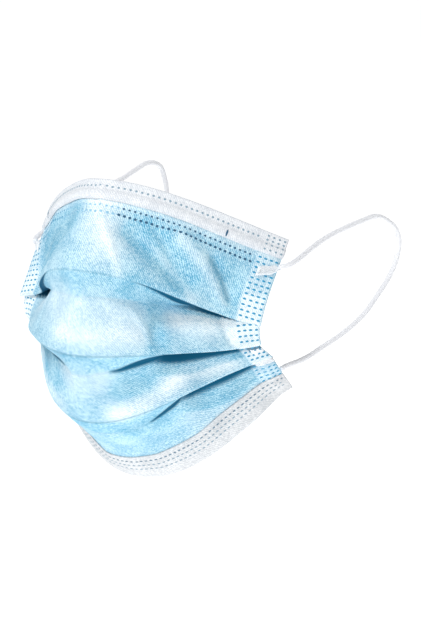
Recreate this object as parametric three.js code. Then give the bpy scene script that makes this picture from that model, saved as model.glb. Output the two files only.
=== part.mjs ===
// A disposable pleated face mask with two ear loops, held in the opened form that it has on a face.
// Millimetres, +Z up. The front of the mask looks along -Y, +X is the wearer's left, and the origin
// is the middle of the top edge, where the mask sits on the bridge of the nose.
import * as THREE from 'three';

// The flat cut of the cloth, before it is pleated
const HALF_WIDTH = 87.5;
const UPPER_PANEL = 41.2;
const MIDDLE_PANEL = 24.5;
const CHIN_PANEL = 38.7;
const PLEAT_DEPTH = 12.5;

// Walls and gaps
const WALL = 1.0;
const GAP = 0.3;
const LAYER = WALL + GAP;
const TURN = LAYER + WALL / 2;

// White edges: the lining is folded over the blue cloth at the top and at the bottom
const TOP_BAND = 8.7;
const CHIN_BAND = 11.2;
const BAND_RETURN = 3;

// Nose wire, flat, under the top band
const WIRE_HALF_LENGTH = 57.5;
const WIRE_WIDTH = 3;
const WIRE_THICKNESS = 0.6;
const WIRE_DROP = 6.4;

// Ear loops and the flattened ends that are welded to the corners
const CORD_DIAMETER = 2.6;
const CORD_SIDES = 8;
const CORD_STEPS = 40;
const WELD_LENGTH = 8;
const WELD_WIDTH = 4.4;
const WELD_INSET = 1;
const WELD_RISE = 3.6;
const WELD_UPPER_W = 15;
const WELD_LOWER_W = 23.4;

// How finely the cloth is divided, out from the middle
const HALF_STATIONS = 21;
const STATION_SPREAD = 1.15;
const ROW_STEP = 1.25;

// Where the fold lines ease out of the middle and flare at the sides, and how round the mask is
// over a fold: 0 has a corner there, 1 has none.
const NOSE_EASE = 14;
const FLARE_START = 56;
const FLARE_RUN = 18;
const FOLD_ROUNDING = 0.6;
const PLEAT_SLACK = 0.2;

const table = (columns, rows) => rows.map((row) => (
  Object.fromEntries(row.map((value, i) => [columns[i], value]))));

// The five lines that shape the opened mask, from the middle (y, z) out to one side. turn and ease
// bend the line round the nose, sweep and flare bend it further back and out again at the side, and
// dip, fall and lift set how steeply it drops near the nose, along the cheek and at the side.
const FOLD_LINES = table(['name', 'y', 'z', 'turn', 'ease', 'sweep', 'flare', 'dip', 'fall', 'lift'], [
  ['top_edge', 0, 0, 0.6, 6, 0.42, 0.04, 0.3, 0.11, -0.03],
  ['first_fold', -25, -34.6, 0.74, 9, 0.41, 0.32, 0.1, 0.49, -0.26],
  ['second_fold', -28, -71, 0.74, 12, 0.4, -0.08, 0, 0.06, -0.03],
  ['third_fold', -11, -104, 0.72, 20, 0.53, 0.04, -0.35, -0.08, 0.12],
  ['chin_edge', 27, -142, 0.32, 14, 0.41, -0.58, -0.15, -0.63, 0.27],
]);

// Hollows and soft waves pressed into the cloth: s runs along the width from the nose, v down the
// cloth, long and wide are the half sizes, tilt turns the long way from down towards the side.
const DENTS = table(['name', 's', 'v', 'long', 'wide', 'tilt', 'depth'], [
  ['left_nose_hollow', 22, 20, 9, 7, 0.7, 2.2],
  ['right_nose_hollow', -24, 19, 9, 8, -0.7, 2.2],
  ['left_cheek_wave', 44, 31, 15, 5, 0.9, 1.8],
  ['right_cheek_wave', -46, 30, 15, 5, -0.9, 1.4],
  ['left_side_valley', 71, 31, 9, 4, 0.1, 1.6],
  ['right_side_valley', -70, 30, 9, 4, -0.1, 1.4],
  ['front_valley', 35, 69, 9, 6, 0, 1.4],
  ['lower_valley', 27, 104, 8, 9, 0.8, 1.4],
]);

// Broad swellings of the whole cloth, pleats and all, pressed out
const SWELLS = table(['name', 's', 'v', 'long', 'wide', 'tilt', 'depth'], [
  ['right_chin_swell', -20, 118, 26, 24, 0, -3.6],
]);

// The panels down the cloth, and their rows as shares. A riser has no row between its two folds.
const PANELS = [UPPER_PANEL, MIDDLE_PANEL, MIDDLE_PANEL, CHIN_PANEL];
const SHARES = [
  [0, BAND_RETURN / UPPER_PANEL, TOP_BAND / UPPER_PANEL, 0.5, 0.76, 1],
  [0, 0.5, 0.75, 1],
  [0, 0.5, 0.75, 1],
  [0, 0.3, 0.5, 1 - CHIN_BAND / CHIN_PANEL, 1 - BAND_RETURN / CHIN_PANEL, 1],
];

// The routes of the two ear loops, from the upper weld round to the lower one, as x, y, z
const LEFT_LOOP = [
  [63.5, 40.3, -40.2],
  [64.5, 41.7, -40],
  [66.2, 45.2, -39.4],
  [66.7, 53.5, -38.1],
  [66.5, 65, -36],
  [67, 79.5, -33.5],
  [69, 94.5, -31.5],
  [71.5, 110, -30],
  [73.5, 121.5, -29.5],
  [75, 131.5, -33],
  [76.5, 139, -38.5],
  [77, 142, -45],
  [76.5, 140, -53.5],
  [75.5, 134.5, -60.5],
  [74, 125, -67.5],
  [72, 111.5, -75.5],
  [69, 95.5, -81],
  [66.5, 80.5, -84],
  [65.2, 67.5, -86],
  [64, 58, -86.6],
  [62.6, 51.4, -86.9],
  [60.8, 48.4, -88],
];
const RIGHT_LOOP = [
  [-63.5, 40.3, -40.2],
  [-64.5, 41.7, -40],
  [-66.2, 45.2, -39.4],
  [-65.6, 54, -36.6],
  [-63, 65, -32],
  [-59, 77.5, -27],
  [-55.5, 90, -21.5],
  [-52, 101, -18],
  [-50.5, 111, -15],
  [-49.5, 119, -13],
  [-48.5, 125.5, -13.5],
  [-47.5, 130.5, -16.5],
  [-47, 133, -22],
  [-46.5, 134.3, -28.5],
  [-46.5, 133, -35.5],
  [-47, 128.3, -43.5],
  [-48.5, 121, -51.5],
  [-50.5, 112, -60],
  [-53, 101.3, -67.5],
  [-55.5, 89, -74],
  [-58, 76.5, -79.5],
  [-60.9, 66, -83.6],
  [-62.8, 57.6, -86],
  [-62.6, 51.4, -86.9],
  [-60.8, 48.4, -88],
];

// The pieces' finishes
const FINISH = {
  panel: { color: 0x9fd3ea, roughness: 0.85, metalness: 0 },
  band: { color: 0xf3f5f7, roughness: 0.85, metalness: 0 },
  wire: { color: 0xd9dde0, roughness: 0.5, metalness: 0.1 },
  cord: { color: 0xf1f3f5, roughness: 0.8, metalness: 0 },
};

const clamp = THREE.MathUtils.clamp;

// One half of a fold line, traced outwards by its heading and its slope, so that its length along
// the cloth is always the half width.
function traceLine(line) {
  const count = Math.round(HALF_WIDTH / ROW_STEP);
  const points = [];
  const headings = [];
  for (let i = 0; i <= count; i += 1) {
    const s = i * ROW_STEP;
    const t = s / HALF_WIDTH;
    const flare = THREE.MathUtils.smoothstep(s, FLARE_START, FLARE_START + FLARE_RUN);
    const yaw = line.turn * (1 - Math.exp(-s / line.ease)) + line.sweep * t * t - line.flare * flare;
    const drop = line.dip * (1 - Math.exp(-s / NOSE_EASE)) + 2 * line.fall * t + 4 * line.lift * t ** 3;
    const level = Math.sqrt(1 - drop * drop);
    headings.push(new THREE.Vector3(Math.cos(yaw) * level, Math.sin(yaw) * level, -drop));
    if (i === 0) {
      points.push(new THREE.Vector3(0, line.y, line.z));
    } else {
      const step = headings[i - 1].clone().add(headings[i]).multiplyScalar(ROW_STEP / 2);
      points.push(points[i - 1].clone().add(step));
    }
  }
  return points;
}

const LINES = FOLD_LINES.map(traceLine);

function linePoint(k, s) {
  const at = clamp(s / ROW_STEP, 0, LINES[k].length - 1);
  const i = Math.min(Math.floor(at), LINES[k].length - 2);
  return LINES[k][i].clone().lerp(LINES[k][i + 1], at - i);
}

// The profile down the mask at one distance s from the middle: the points where it crosses the five
// lines, and between them curves that turn partly round at each fold.
const profiles = new Map();

function profile(s) {
  if (profiles.has(s)) {
    return profiles.get(s);
  }
  const points = LINES.map((line, k) => linePoint(k, s));
  const chords = points.slice(1).map((p, k) => p.clone().sub(points[k]));
  const spans = chords.map((chord) => chord.length());
  const ways = chords.map((chord) => chord.clone().normalize());
  const turned = (k, side) => {
    const between = ways[k - 1].clone().add(ways[k]).normalize();
    return side.clone().lerp(between, FOLD_ROUNDING).normalize();
  };
  const starts = ways.map((way, k) => (k === 0 ? way.clone() : turned(k, way)).multiplyScalar(spans[k]));
  const ends = ways.map((way, k) => (
    k === ways.length - 1 ? way.clone() : turned(k + 1, way)).multiplyScalar(spans[k]));
  const shape = { points, spans, starts, ends };
  profiles.set(s, shape);
  return shape;
}

// A point on the profile, x millimetres below fold line k, or above it where x is negative
function profilePoint(s, k, x) {
  const shape = profile(s);
  const onNext = x >= 0 || k === 0;
  const part = onNext ? Math.min(k, shape.spans.length - 1) : k - 1;
  const t = onNext ? x / shape.spans[part] : 1 + x / shape.spans[part];
  const held = clamp(t, 0, 1);
  const square = held ** 2;
  const cube = held ** 3;
  const point = shape.points[part].clone().multiplyScalar(2 * cube - 3 * square + 1)
    .addScaledVector(shape.starts[part], cube - 2 * square + held)
    .addScaledVector(shape.points[part + 1], 3 * square - 2 * cube)
    .addScaledVector(shape.ends[part], cube - square);
  const over = t - held;
  const way = over > 0 ? shape.ends[part] : shape.starts[part];
  return point.addScaledVector(way, over);
}

// The way out of the mask, square to the profile at that point
function outward(s, k, x) {
  const reach = 0.6;
  const inner = Math.max(s - reach, 0);
  const outer = Math.min(s + reach, HALF_WIDTH);
  const across = profilePoint(outer, k, x).sub(profilePoint(inner, k, x));
  if (inner === 0) {
    across.set(1, 0, 0);
  }
  const down = profilePoint(s, k, x + reach).sub(profilePoint(s, k, x - reach));
  return down.cross(across).normalize();
}

// A pleat between two fold lines is two stiff strips: a riser and a panel, joined at a fold that
// goes inwards. Where the lines are close it lies folded flat, where they are far apart it is open.
function pleatElbow(k, s, panel) {
  const flat = panel - PLEAT_DEPTH + PLEAT_SLACK;
  const open = panel + PLEAT_DEPTH - PLEAT_SLACK;
  const span = clamp(profile(s).spans[k], flat, open);
  const along = (PLEAT_DEPTH ** 2 - panel ** 2 + span ** 2) / (2 * span);
  const depth = Math.sqrt(Math.max(PLEAT_DEPTH ** 2 - along ** 2, 0));
  return { along, depth, span };
}

// How far a list of dents presses the cloth in at s, v
function pressed(dents, s, v) {
  let depth = 0;
  for (const dent of dents) {
    const ds = s - dent.s;
    const dv = v - dent.v;
    const down = dv * Math.cos(dent.tilt) + ds * Math.sin(dent.tilt);
    const side = ds * Math.cos(dent.tilt) - dv * Math.sin(dent.tilt);
    depth += dent.depth * Math.exp(-((down / dent.long) ** 2) - (side / dent.wide) ** 2);
  }
  return depth;
}

// A point of the cloth's middle. k is the panel, 0 the upper one, and w the distance below the fold
// that it starts at. The upper and the chin panel stop short of their edge by the band's turn.
function cloth(s, k, w) {
  const side = Math.abs(s);
  const last = PANELS.length - 1;
  let x = w + TURN;
  let depth = 0;
  if (k > 0) {
    const length = PANELS[k] + (k === last ? TURN : 0);
    const elbow = pleatElbow(k, side, length);
    const share = w / length;
    x = elbow.along + (elbow.span - elbow.along) * share;
    depth = elbow.depth * (1 - share);
  }
  const point = profilePoint(side, k, x);
  const above = PANELS.slice(0, k).reduce((sum, length) => sum + length + PLEAT_DEPTH, 0);
  const share = w / PANELS[k];
  const toFold = Math.min(k === last ? 1 : 1 - share, k === 0 ? 1 : share);
  depth += pressed(DENTS, s, above + w) * THREE.MathUtils.smoothstep(toFold, 0, 0.25);
  depth += pressed(SWELLS, s, above + w);
  point.addScaledVector(outward(side, k, x), -depth);
  if (s < 0) {
    point.x = -point.x;
  }
  return point;
}

function stationList(from, to) {
  const list = [];
  for (let i = -HALF_STATIONS; i <= HALF_STATIONS; i += 1) {
    const s = Math.sign(i) * HALF_WIDTH * (Math.abs(i) / HALF_STATIONS) ** STATION_SPREAD;
    if (s > from + 1 && s < to - 1) {
      list.push(s);
    }
  }
  return [from, ...list, to];
}

// The grid of each panel: middle points and outward normals, at the stations and the rows
const STATIONS = stationList(-HALF_WIDTH, HALF_WIDTH);
const GRID = PANELS.map((length, k) => {
  const points = STATIONS.map((s) => SHARES[k].map((share) => cloth(s, k, share * length)));
  const normals = points.map((column, i) => column.map((point, j) => {
    const before = points[Math.max(i - 1, 0)][j];
    const after = points[Math.min(i + 1, points.length - 1)][j];
    const above = column[Math.max(j - 1, 0)];
    const below = column[Math.min(j + 1, column.length - 1)];
    return below.clone().sub(above).cross(after.clone().sub(before)).normalize();
  }));
  return { points, normals };
});

function cellOf(list, value) {
  let cell = 0;
  while (cell < list.length - 2 && value > list[cell + 1]) {
    cell += 1;
  }
  return { cell, part: (value - list[cell]) / (list[cell + 1] - list[cell]) };
}

// A point at a level off panel k, w below its upper edge: in front of it, behind where negative
function onPanel(s, k, w, level) {
  const { cell: i, part: f } = cellOf(STATIONS, s);
  const { cell: j, part: g } = cellOf(SHARES[k], w / PANELS[k]);
  const blend = (grid) => {
    const left = grid[i][j].clone().lerp(grid[i][j + 1], g);
    const right = grid[i + 1][j].clone().lerp(grid[i + 1][j + 1], g);
    return left.lerp(right, f);
  };
  return blend(GRID[k].points).addScaledVector(blend(GRID[k].normals).normalize(), level);
}

// A solid sheet: rows of middle points at each station are given a wall on both sides. At a tight
// fold the wall fills the wedge inside it and stays close round its back.
function sheetSolid(stations, middleLine, thickness) {
  const half = thickness / 2;
  const middle = stations.map(middleLine);
  const rows = middle[0].length;
  const front = [];
  const back = [];
  for (let i = 0; i < stations.length; i += 1) {
    front.push([]);
    back.push([]);
    for (let j = 0; j < rows; j += 1) {
      const before = middle[Math.max(i - 1, 0)][j];
      const after = middle[Math.min(i + 1, stations.length - 1)][j];
      const across = after.clone().sub(before).normalize();
      const here = middle[i][j];
      const into = here.clone().sub(middle[i][Math.max(j - 1, 0)]);
      const out = middle[i][Math.min(j + 1, rows - 1)].clone().sub(here);
      if (j === 0) {
        into.copy(out);
      }
      if (j === rows - 1) {
        out.copy(into);
      }
      const reach = 0.6 * Math.min(into.length(), out.length());
      for (const way of [into, out]) {
        way.addScaledVector(across, -way.dot(across)).normalize();
      }
      const square = into.clone().cross(across).normalize();
      const next = out.clone().cross(across).normalize();
      const miter = square.clone().add(next);
      const turn = out.clone().sub(into).dot(miter);
      const open = Math.max(1 + square.dot(next), 1e-4);
      const offset = miter.clone().multiplyScalar(half / open);
      const length = offset.length();
      const wedge = clamp(length, half, Math.max(reach, half));
      const ridge = Math.min(length, 1.4 * half);
      offset.normalize();
      front[i].push(here.clone().addScaledVector(offset, turn > 0 ? wedge : ridge));
      back[i].push(here.clone().addScaledVector(offset, turn > 0 ? -ridge : -wedge));
    }
  }
  return closedSheet(front, back);
}

// Joins a front and a back grid of points into one closed surface that faces out
function closedSheet(front, back) {
  const [columns, rows] = [front.length, front[0].length];
  const positions = [...front.flat(), ...back.flat()].flatMap((p) => [p.x, p.y, p.z]);
  const F = (i, j) => i * rows + j;
  const B = (i, j) => columns * rows + i * rows + j;
  const index = [];
  const quad = (a, b, c, d) => index.push(a, b, c, a, c, d);
  for (let i = 0; i < columns - 1; i += 1) {
    for (let j = 0; j < rows - 1; j += 1) {
      quad(F(i, j), F(i, j + 1), F(i + 1, j + 1), F(i + 1, j));
      quad(B(i, j), B(i + 1, j), B(i + 1, j + 1), B(i, j + 1));
    }
    quad(F(i, 0), F(i + 1, 0), B(i + 1, 0), B(i, 0));
    quad(F(i, rows - 1), B(i, rows - 1), B(i + 1, rows - 1), F(i + 1, rows - 1));
  }
  for (let j = 0; j < rows - 1; j += 1) {
    quad(F(0, j), B(0, j), B(0, j + 1), F(0, j + 1));
    quad(F(columns - 1, j), F(columns - 1, j + 1), B(columns - 1, j + 1), B(columns - 1, j));
  }
  const geometry = new THREE.BufferGeometry();
  geometry.setAttribute('position', new THREE.Float32BufferAttribute(positions, 3));
  geometry.setIndex(index);
  return geometry;
}

const mask = new THREE.Group();

function addPiece(name, geometry, finish) {
  const mesh = new THREE.Mesh(geometry, new THREE.MeshStandardMaterial(FINISH[finish]));
  mesh.name = name;
  mask.add(mesh);
  return mesh;
}

// The pleated cloth, from the top edge down over three pleats to the chin
function pleatedPanel() {
  const line = (s) => PANELS.flatMap((length, k) => (
    SHARES[k].map((share) => onPanel(s, k, share * length, 0))));
  return sheetSolid(STATIONS, line, WALL);
}

// The lining folded over the top edge, raised over the nose wire
function topBand() {
  const overWire = LAYER + WIRE_THICKNESS + GAP;
  const wireTop = WIRE_DROP - WIRE_WIDTH / 2 - GAP;
  const line = (s) => [
    onPanel(s, 0, BAND_RETURN, -LAYER),
    onPanel(s, 0, -LAYER, -LAYER),
    onPanel(s, 0, -LAYER, LAYER),
    onPanel(s, 0, BAND_RETURN, LAYER),
    onPanel(s, 0, wireTop, overWire),
    onPanel(s, 0, TOP_BAND, overWire),
  ];
  return sheetSolid(STATIONS, line, WALL);
}

// The lining folded over the bottom edge
function chinBand() {
  const line = (s) => [
    onPanel(s, 3, CHIN_PANEL - CHIN_BAND, LAYER),
    onPanel(s, 3, CHIN_PANEL - BAND_RETURN, LAYER),
    onPanel(s, 3, CHIN_PANEL + LAYER, LAYER),
    onPanel(s, 3, CHIN_PANEL + LAYER, -LAYER),
    onPanel(s, 3, CHIN_PANEL - BAND_RETURN, -LAYER),
  ];
  return sheetSolid(STATIONS, line, WALL);
}

function noseWire() {
  const level = WALL / 2 + GAP + WIRE_THICKNESS / 2;
  const line = (s) => [
    onPanel(s, 0, WIRE_DROP - WIRE_WIDTH / 2, level),
    onPanel(s, 0, WIRE_DROP + WIRE_WIDTH / 2, level),
  ];
  return sheetSolid(stationList(-WIRE_HALF_LENGTH, WIRE_HALF_LENGTH), line, WIRE_THICKNESS);
}

// The flattened end of an ear loop on a corner of the mask, rising towards the edge; side 1 or -1
function cordWeld(side, k, w) {
  const outer = HALF_WIDTH - WELD_INSET;
  const inner = outer - WELD_LENGTH;
  const stations = side > 0 ? stationList(inner, outer) : stationList(-outer, -inner);
  const line = (s) => {
    const middle = w - WELD_RISE * ((Math.abs(s) - inner) / WELD_LENGTH - 0.5);
    return [
      onPanel(s, k, middle - WELD_WIDTH / 2, LAYER),
      onPanel(s, k, middle + WELD_WIDTH / 2, LAYER),
    ];
  };
  return sheetSolid(stations, line, WALL);
}

// An ear loop: a round cord from the upper weld to the lower one
function earLoop(route) {
  const path = new THREE.CatmullRomCurve3(route.map(([x, y, z]) => new THREE.Vector3(x, y, z)));
  const section = new THREE.Shape();
  section.absarc(0, 0, CORD_DIAMETER / 2, 0, 2 * Math.PI);
  return new THREE.ExtrudeGeometry(section, {
    extrudePath: path,
    steps: CORD_STEPS,
    curveSegments: CORD_SIDES / 2,
  });
}

addPiece('mask_panel', pleatedPanel(), 'panel');
addPiece('top_band', topBand(), 'band');
addPiece('chin_band', chinBand(), 'band');
addPiece('nose_wire', noseWire(), 'wire');
addPiece('loop_weld_upper_left', cordWeld(1, 0, WELD_UPPER_W), 'cord');
addPiece('loop_weld_upper_right', cordWeld(-1, 0, WELD_UPPER_W), 'cord');
addPiece('loop_weld_lower_left', cordWeld(1, 3, WELD_LOWER_W), 'cord');
addPiece('loop_weld_lower_right', cordWeld(-1, 3, WELD_LOWER_W), 'cord');
addPiece('ear_loop_left', earLoop(LEFT_LOOP), 'cord');
addPiece('ear_loop_right', earLoop(RIGHT_LOOP), 'cord');

export default mask;
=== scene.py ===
import math

import bpy
import numpy as np
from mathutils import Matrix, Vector


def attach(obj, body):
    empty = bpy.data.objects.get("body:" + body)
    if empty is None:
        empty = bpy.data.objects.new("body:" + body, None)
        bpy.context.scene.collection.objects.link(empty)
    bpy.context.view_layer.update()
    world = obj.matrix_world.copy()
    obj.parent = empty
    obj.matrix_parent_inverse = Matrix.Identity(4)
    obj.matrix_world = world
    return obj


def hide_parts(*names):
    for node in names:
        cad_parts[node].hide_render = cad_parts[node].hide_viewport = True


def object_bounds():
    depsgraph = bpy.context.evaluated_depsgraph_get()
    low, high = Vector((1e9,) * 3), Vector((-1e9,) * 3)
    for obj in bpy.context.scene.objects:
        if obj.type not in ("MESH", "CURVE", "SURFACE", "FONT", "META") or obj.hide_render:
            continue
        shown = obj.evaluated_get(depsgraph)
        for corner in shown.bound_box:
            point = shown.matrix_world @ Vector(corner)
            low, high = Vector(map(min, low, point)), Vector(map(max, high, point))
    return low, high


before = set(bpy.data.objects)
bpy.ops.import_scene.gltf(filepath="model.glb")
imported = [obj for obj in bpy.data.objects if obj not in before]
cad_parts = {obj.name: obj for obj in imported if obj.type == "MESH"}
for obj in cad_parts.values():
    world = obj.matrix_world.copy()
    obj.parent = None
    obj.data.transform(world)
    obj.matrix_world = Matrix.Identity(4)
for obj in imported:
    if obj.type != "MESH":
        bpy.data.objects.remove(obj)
CAD_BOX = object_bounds()
MM = 0.001

# The view: the photograph's angle, distance and lens
CAMERA_AZIMUTH = 28.4
CAMERA_ELEVATION = 13.2
CAMERA_DISTANCE = 0.8417
CAMERA_TARGET = Vector((0.0267, 0.0453, -0.0667))
CAMERA_LENS = 106.8

# The flat cut of the cloth, in millimetres
HALF_WIDTH = 87.5
UPPER_PANEL = 41.2
MIDDLE_PANEL = 24.5
CHIN_PANEL = 38.7
PLEAT_DEPTH = 12.5
PANELS = [UPPER_PANEL, MIDDLE_PANEL, MIDDLE_PANEL, CHIN_PANEL]
EDGE_TURN = 1.8
CLOTH_WALL = 0.7

# White edges
TOP_BAND = 8.75
CHIN_BAND = 11.2
BAND_RETURN = 3.0
BAND_WALL = 0.5
BAND_LEVEL = 1.05
OVER_WIRE = 1.75
BAND_STATIONS = 80

# Weld dots: their pitch along a row, and the columns of the side strips from the edge inwards
DOT_PITCH = 2.5
STRIP_COLUMNS = [85.8, 83.0, 80.15, 77.3]
STRIP_INNER = 75.9

# Ear loops
CORD_DIAMETER = 0.0026
CORD_SIDES = 16
ROUTE_STEP = 0.5

# The grid of the visible cloth
S_STEP = DOT_PITCH / 3
V_STEP = 0.9
NOSE_EASE = 14.0
FLARE_START = 56.0
FLARE_RUN = 18.0
FOLD_ROUNDING = 0.6
NORMAL_REACH = 4.0
PLEAT_SLACK = 0.2
LEAST_POCKET = 4.5
STRIP_RISE = 0.25

# From where to where, out from the middle, the depths of the pleats change
LEFT_EASE = (4, 20)
LEFT_END = (34, 52)
STRIP_EASE = (44, 62)
RIGHT_EASE = (10, 30)
POCKET_EASE = (50, 70)


def table(columns, rows):
    """Rows of values as a list of small records with named columns."""
    return [dict(zip(columns, row)) for row in rows]


# The five lines that shape the opened mask, from the middle (y, z) out to one side
FOLD_LINES = table(
    ["name", "y", "z", "turn", "ease", "sweep", "flare", "dip", "fall", "lift"],
    [
        ["top_edge", 0, 0, 0.6, 6, 0.42, 0.04, 0.3, 0.11, -0.03],
        ["first_fold", -25, -34.6, 0.74, 9, 0.41, 0.32, 0.1, 0.49, -0.26],
        ["second_fold", -28, -71, 0.74, 12, 0.4, -0.08, 0, 0.06, -0.03],
        ["third_fold", -11, -104, 0.72, 20, 0.53, 0.04, -0.35, -0.08, 0.12],
        ["chin_edge", 27, -142, 0.32, 14, 0.41, -0.58, -0.15, -0.63, 0.27],
    ],
)

# Hollows and soft waves pressed into the cloth, in its own s (across) and v (down)
DENTS = table(
    ["name", "s", "v", "long", "wide", "tilt", "depth"],
    [
        ["left_nose_hollow", 22, 20, 9, 7, 0.7, 2.2],
        ["right_nose_hollow", -24, 19, 9, 8, -0.7, 2.2],
        ["left_cheek_wave", 44, 31, 15, 5, 0.9, 1.8],
        ["right_cheek_wave", -46, 30, 15, 5, -0.9, 1.4],
        ["left_side_valley", 71, 31, 9, 4, 0.1, 1.6],
        ["right_side_valley", -70, 30, 9, 4, -0.1, 1.4],
        ["front_valley", 35, 69, 9, 6, 0, 1.4],
        ["lower_valley", 27, 104, 8, 9, 0.8, 1.4],
    ],
)
SWELLS = table(
    ["name", "s", "v", "long", "wide", "tilt", "depth"],
    [
        ["right_chin_swell", -20, 118, 26, 24, 0, -3.6],
        ["chin_flare", 22, 149, 13, 32, 0, 5.5],
    ],
)

# Bends that carry all the layers of the pleats together: v is here the way down the profile
BENDS = table(
    ["name", "s", "v", "long", "wide", "tilt", "depth"],
    [
        ["right_pocket_gap", -68, 35, 11, 10, 0, 4.2],
        ["right_strip_flare", -90, 50, 13, 9, 0, -3.8],
        ["right_corner_tuck", -89, 4, 8, 10, 0, 2.0],
    ],
)

# Creases and soft valleys: depth in millimetres, less than nothing where they stand out
CREASES = table(
    ["name", "depth", "wide", "line"],
    [
        ["nose_crease", -0.8, 1.6, [(1, 4), (3.5, 14), (9, 24), (14, 32), (19, 41)]],
        ["mouth_crease", -0.7, 1.6, [(22, 52), (29, 60), (34, 68), (35, 76)]],
        ["nose_slope", 1.9, 4.5, [(15, 20), (27, 26), (39, 33), (47, 38)]],
        ["cheek_slope", 1.3, 2.6, [(29, 16), (41, 26), (51, 32)]],
        ["cheek_roll", -1.5, 4.0, [(40, 15), (54, 23), (69, 36)]],
        ["corner_wrinkle", 1.7, 2.2, [(57, 19), (65, 25), (71, 34)]],
        ["middle_valley", 1.8, 3.2, [(42, 54), (39, 65), (37, 75)]],
        ["strip_valley", 0.9, 2.2, [(69, 57), (71, 66), (73, 80)]],
        ["right_nose_slope", 1.2, 4.5, [(-16, 19), (-27, 27), (-38, 35)]],
        ["right_cheek_roll", -0.9, 4.5, [(-42, 14), (-55, 24), (-68, 36)]],
        ["right_wrinkle", 1.1, 2.6, [(-58, 18), (-66, 26), (-71, 35)]],
        ["right_valley", 1.2, 3.2, [(-44, 54), (-40, 66), (-39, 76)]],
        ["right_fold", 0.8, 2.0, [(-61, 106), (-35, 104), (-24, 110)]],
        ["chin_wave", 0.9, 5.0, [(8, 124), (20, 131), (34, 136)]],
        ["right_chin_wave", 0.8, 5.0, [(-14, 126), (-30, 131), (-46, 133)]],
    ],
)

# Painted light and shade on the blue cloth, each fading away from its line: a painted highlight where
# pale is above nothing, painted shade where it is below
PAINTED_LIGHT_AND_SHADE = table(
    ["name", "pale", "wide", "line"],
    [
        ["nose_ridge", 0.5, 9.0, [(0, 9), (4, 18), (10, 30)]],
        ["nose_line", 0.25, 1.8, [(6, 19), (9, 24), (14, 32), (19, 41)]],
        ["upper_front", 0.2, 12.0, [(-14, 12), (2, 14)]],
        ["left_hollow", -0.35, 5.0, [(19, 17), (30, 20), (42, 26), (50, 32)]],
        ["nose_valley", -0.4, 2.6, [(17, 21), (27, 26), (39, 33), (47, 37)]],
        ["cheek_ridge", 0.35, 2.6, [(40, 17), (54, 24), (69, 35)]],
        ["slope_light", 0.3, 3.0, [(24, 21), (36, 27), (46, 33), (54, 40)]],
        ["corner_line", -0.5, 1.8, [(58, 20), (65, 25), (70, 33)]],
        ["right_hollow", -0.6, 9.0, [(-13, 14), (-26, 22), (-48, 26)]],
        ["left_slope", -0.3, 6.0, [(66, 24), (71, 33)]],
        ["front_middle", 0.42, 11.0, [(-22, 56), (0, 60), (26, 63)]],
        ["first_riser", -0.4, 6.0, [(26, 45), (38, 51)]],
        ["middle_valley", -0.4, 5.0, [(42, 54), (38, 66), (37, 78)]],
        ["middle_left", 0.6, 7.0, [(50, 62), (64, 66)]],
        ["middle_fold", 0.4, 5.0, [(-10, 70), (14, 72), (30, 70)]],
        ["strip_end", 1.8, 3.0, [(73.2, 56), (73, 63), (75.5, 74)]],
        ["front_lower", 0.35, 8.0, [(-12, 92), (8, 95)]],
        ["lower_hollow", -0.55, 7.0, [(18, 101), (27, 105)]],
        ["lower_lip", 0.75, 5.5, [(12, 112), (28, 110), (47, 105), (66, 108)]],
        ["chin_hollow", -0.3, 7.0, [(15, 128), (28, 133)]],
        ["chin_left", 0.25, 9.0, [(40, 146), (58, 144)]],
        ["right_middle", 0.3, 9.0, [(-50, 60), (-64, 62)]],
        ["right_lower_hollow", -0.4, 8.0, [(-26, 100), (-38, 104)]],
        ["right_lower_lip", 0.4, 4.5, [(-18, 112), (-50, 110)]],
    ],
)

# The tone of the blue cloth: on its own, above the upper weld rows, deep in a pleat as painted shade, on
# a riser as painted shade too, and low on the left of the chin
BASE_TONE = 0.16
TOP_TONE = 0.3
POCKET_SHADE_TONE = -0.7
RISER_SHADE_TONE = -0.16
CHIN_TONE = 0.45

# How far each pleat's pocket stands in, against what its cloth allows: between the cheek and
# the middle on the wearer's left, by the strip there, then all along the right. Its painted shade
# keeps to the outer fold or the inner one, starts this far from the middle, fills the riser at the
# next, and reaches this far down the panel below, as run over depth. A thin line of painted shade,
# this dark, marks the outer fold all the way across.
PLEATS = table(
    ["name", "left", "strip", "right", "at_inner", "starts", "full", "reach", "line"],
    [
        ["first_pleat", 1.0, 0.45, 0.5, False, 17, 64, 0.3, 0.2],
        ["second_pleat", 0.5, 1.0, 0.6, True, 12, 40, 1.75, 0.34],
        ["third_pleat", 0.5, 1.0, 0.9, True, 20, 44, 1.8, 0.4],
    ],
)

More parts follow.
